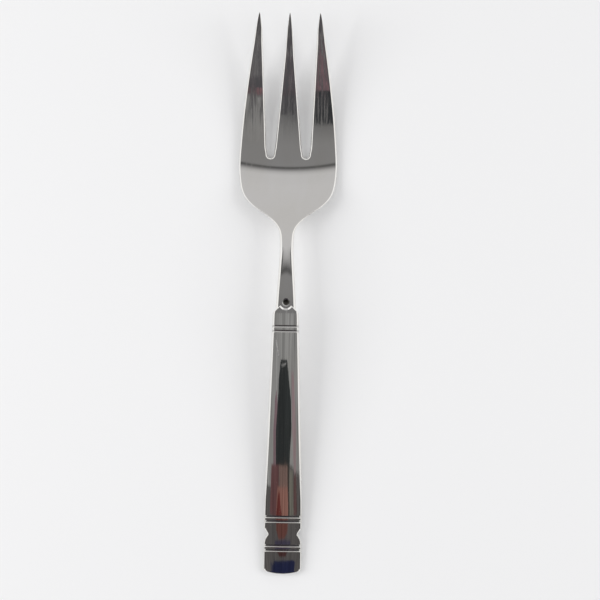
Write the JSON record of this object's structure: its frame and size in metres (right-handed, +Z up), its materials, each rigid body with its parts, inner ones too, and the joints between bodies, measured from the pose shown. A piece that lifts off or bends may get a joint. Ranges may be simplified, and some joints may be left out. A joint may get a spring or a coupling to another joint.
{
  "type": "serving fork",
  "caption": "Long polished metal serving fork with tapering tines, a shallow bowl, a slim neck and a flat tapering handle struck with bands of lines.",
  "frame": {"origin": "on the table, under the middle of the box round the fork", "axes": "+Y along the fork from the butt of the handle to the tips of the tines, +X across it to the right seen from above with the tips away, +Z up out of the face of the bowl"},
  "size_m": [0.0388, 0.22, 0.0175],
  "materials": {
    "plated_metal": "bright polished silver plate with fine handling scratches and a little tarnish in the struck lines and the dimple"
  },
  "bodies": {
    "root": {"serving_fork": "plated_metal"}
  },
  "joints": []
}
